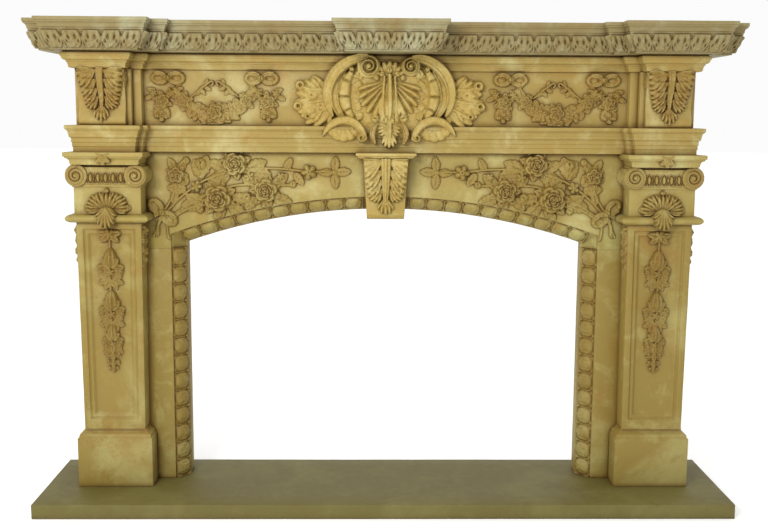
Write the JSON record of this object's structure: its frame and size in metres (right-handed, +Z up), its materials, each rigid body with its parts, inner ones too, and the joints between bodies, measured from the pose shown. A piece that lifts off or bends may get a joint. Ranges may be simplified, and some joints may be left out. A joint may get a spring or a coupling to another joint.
{
  "type": "fireplace mantel",
  "caption": "Carved stone fireplace mantel with panelled piers, low arched opening, keystone, garlanded frieze, shell cartouche and a breaking shelf.",
  "frame": {"origin": "on the underside of the hearth slab, under the middle of its width and depth", "axes": "+X to the right as seen from the room, +Y back towards the wall, +Z up; the back plane is at Y = +0.23 m"},
  "size_m": [2.25, 0.46, 1.568],
  "materials": {
    "honey_stone": "honey-coloured limestone, matt, old rubbed surface with ochre stains and small pits",
    "pale_stone": "paler limestone with cream and greenish patches, matt",
    "ochre_stone": "ochre-stained limestone, matt, darker in the hollows",
    "grey_stone": "grey-green weathered limestone, matt, worn edges",
    "hearth_stone": "sawn limestone slab, dull olive top and yellower edge, matt"
  },
  "bodies": {
    "root": {"architrave": "honey_stone", "bed_moulding": "honey_stone", "capital_left": "pale_stone", "capital_right": "pale_stone", "cartouche": "ochre_stone", "console_left": "honey_stone", "console_right": "honey_stone", "cornice_shelf": "grey_stone", "frieze": "honey_stone", "hearth_slab": "hearth_stone", "jamb_left": "honey_stone", "jamb_right": "honey_stone", "keystone": "ochre_stone", "lintel_left": "pale_stone", "lintel_right": "pale_stone", "plinth_left": "honey_stone", "plinth_right": "honey_stone", "shaft_left": "honey_stone", "shaft_right": "honey_stone"}
  },
  "joints": []
}
